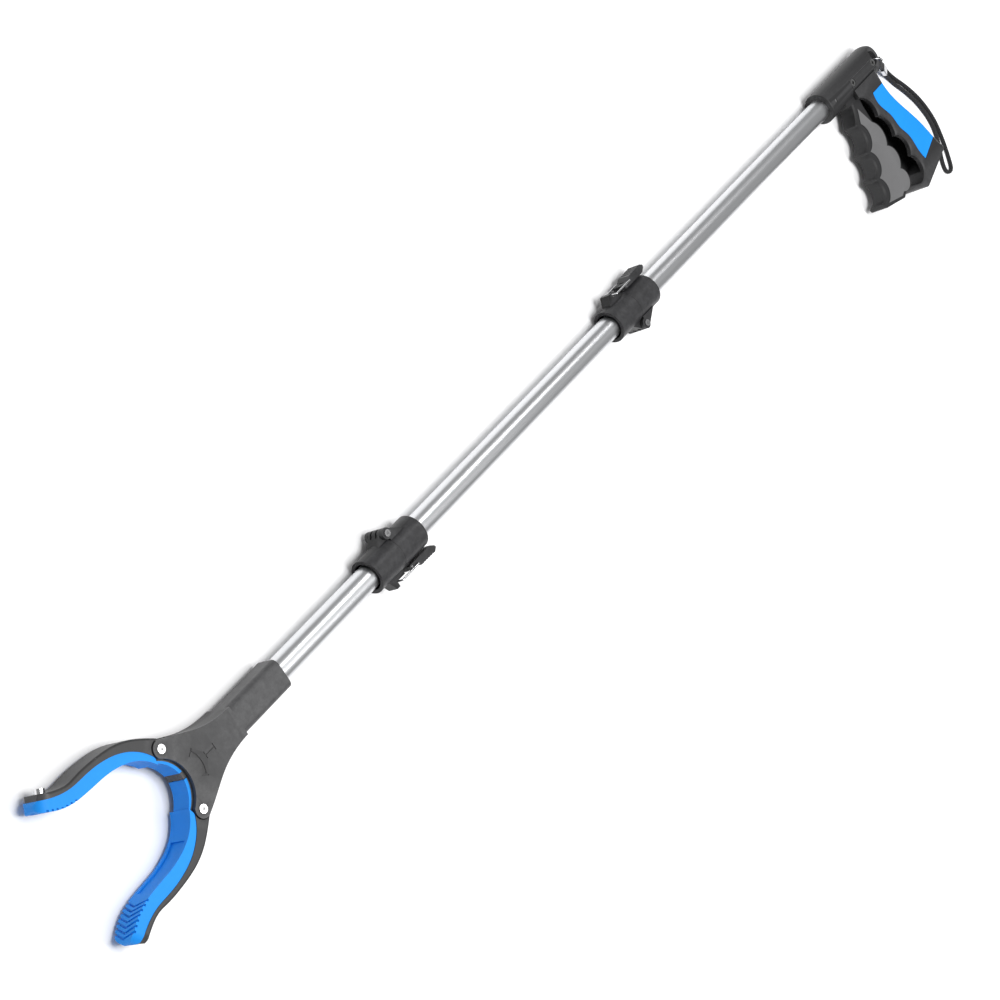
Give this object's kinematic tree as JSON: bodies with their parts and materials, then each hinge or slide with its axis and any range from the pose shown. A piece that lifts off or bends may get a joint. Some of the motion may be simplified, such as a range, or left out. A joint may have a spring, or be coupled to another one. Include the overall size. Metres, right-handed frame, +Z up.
{
  "type": "reacher grabber",
  "caption": "Folding hand reacher with a pistol grip and finger trigger, hinged aluminium tubes with latches, and two soft-lined gripping jaws",
  "frame": {"origin": "centre of the lanyard eye at the back of the barrel, halfway through its thickness", "axes": "+X runs along the tool to the jaws, +Y across the grip plane towards the grip, +Z up out of the side that the tool lies on"},
  "size_m": [1.1513, 0.1953, 0.0274],
  "materials": {
    "shell_plastic": "fine satin grain",
    "trigger_plastic": "fine satin grain",
    "blue_rubber": "matte",
    "collar_plastic": "satin",
    "head_plastic": "fine satin grain",
    "tube_aluminium": "satin anodised",
    "black_steel": "satin",
    "bright_steel": "polished",
    "magnet": "polished nickel",
    "strap_fabric": "woven"
  },
  "bodies": {
    "handle": {"handle_shell_upper": "shell_plastic", "handle_shell_lower": "shell_plastic", "grip_pad": "blue_rubber", "trigger_spring": "bright_steel", "trigger_pivot_screw": "black_steel", "barrel_screw": "black_steel", "tube_pin": "bright_steel", "rear_tube": "tube_aluminium", "pull_cable_rear": "bright_steel", "hinge1_rear_collar": "collar_plastic", "hinge1_screw": "bright_steel", "latch1_pin": "bright_steel", "split_ring": "bright_steel", "lanyard_tab": "strap_fabric", "lanyard_crimp": "bright_steel", "lanyard_cord": "strap_fabric"},
    "trigger": {"trigger": "trigger_plastic"},
    "middle_section": {"hinge1_front_collar": "collar_plastic", "middle_tube": "tube_aluminium", "pull_cable_middle": "bright_steel", "hinge2_rear_collar": "collar_plastic", "hinge2_screw": "bright_steel", "latch2_pin": "bright_steel"},
    "jaw_section": {"hinge2_front_collar": "collar_plastic", "front_tube": "tube_aluminium", "neck_sleeve": "head_plastic", "head_upper": "head_plastic", "head_lower": "head_plastic", "jaw_pivot_lower": "bright_steel", "jaw_pivot_upper": "bright_steel"},
    "lever_one": {"latch1_lever": "collar_plastic"},
    "bail_one": {"latch1_bail": "bright_steel"},
    "lever_two": {"latch2_lever": "collar_plastic"},
    "bail_two": {"latch2_bail": "bright_steel"},
    "lower_jaw": {"jaw_lower": "head_plastic", "jaw_pad_lower": "blue_rubber", "jaw_magnet_lower": "magnet"},
    "upper_jaw": {"jaw_upper": "head_plastic", "jaw_pad_upper": "blue_rubber", "jaw_magnet_upper": "magnet"},
    "puller": {"pull_yoke": "bright_steel", "pull_cable_front": "bright_steel"}
  },
  "joints": [
    {"name": "trigger_squeeze", "type": "hinge", "parent": "handle", "child": "trigger", "pos_m": [0.05, 0, 0], "axis": [0, 0, 1], "range_deg": [0, 12], "stiffness_Nm_per_rad": 1.5, "springref_deg": -2.86},
    {"name": "hinge1_fold", "type": "hinge", "parent": "handle", "child": "middle_section", "pos_m": [0.4155, 0.016, 0], "axis": [0, 0, 1], "range_deg": [0, 180]},
    {"name": "hinge2_fold", "type": "hinge", "parent": "middle_section", "child": "jaw_section", "pos_m": [0.7455, -0.016, 0], "axis": [0, 0, 1], "range_deg": [-171, 0]},
    {"name": "latch1_open", "type": "hinge", "parent": "handle", "child": "lever_one", "pos_m": [0.4095, -0.0159, 0], "axis": [0, 0, 1], "range_deg": [0, 95]},
    {"name": "bail1_swing", "type": "hinge", "parent": "lever_one", "child": "bail_one", "pos_m": [0.4035, -0.0172, 0], "axis": [0, 0, 1], "range_deg": [-114, 0]},
    {"name": "latch2_open", "type": "hinge", "parent": "middle_section", "child": "lever_two", "pos_m": [0.7395, 0.0159, 0], "axis": [0, 0, -1], "range_deg": [0, 5]},
    {"name": "bail2_swing", "type": "hinge", "parent": "lever_two", "child": "bail_two", "pos_m": [0.7335, 0.0172, 0], "axis": [0, 0, -1], "range_deg": [-5.5, 0]},
    {"name": "lower_jaw_turn", "type": "hinge", "parent": "jaw_section", "child": "lower_jaw", "pos_m": [0.9972, 0.0241, 0], "axis": [0, 0, 1], "range_deg": [-28.8, 0]},
    {"name": "upper_jaw_turn", "type": "hinge", "parent": "jaw_section", "child": "upper_jaw", "pos_m": [0.9972, -0.0241, 0], "axis": [0, 0, 1], "range_deg": [0, 28.8]},
    {"name": "yoke_slide", "type": "slide", "parent": "jaw_section", "child": "puller", "axis": [1, 0, 0], "range_m": [-0.0081, 0]}
  ],
  "couplings": [
    {"joint": "hinge2_fold", "follows": "hinge1_fold", "ratio": -0.95},
    {"joint": "bail1_swing", "follows": "latch1_open", "ratio": -1.2},
    {"joint": "bail2_swing", "follows": "latch2_open", "ratio": -0.8},
    {"joint": "lower_jaw_turn", "follows": "trigger_squeeze", "ratio": -2.4},
    {"joint": "upper_jaw_turn", "follows": "trigger_squeeze", "ratio": 2.4},
    {"joint": "yoke_slide", "follows": "trigger_squeeze", "m_per_rad": -0.038197}
  ]
}
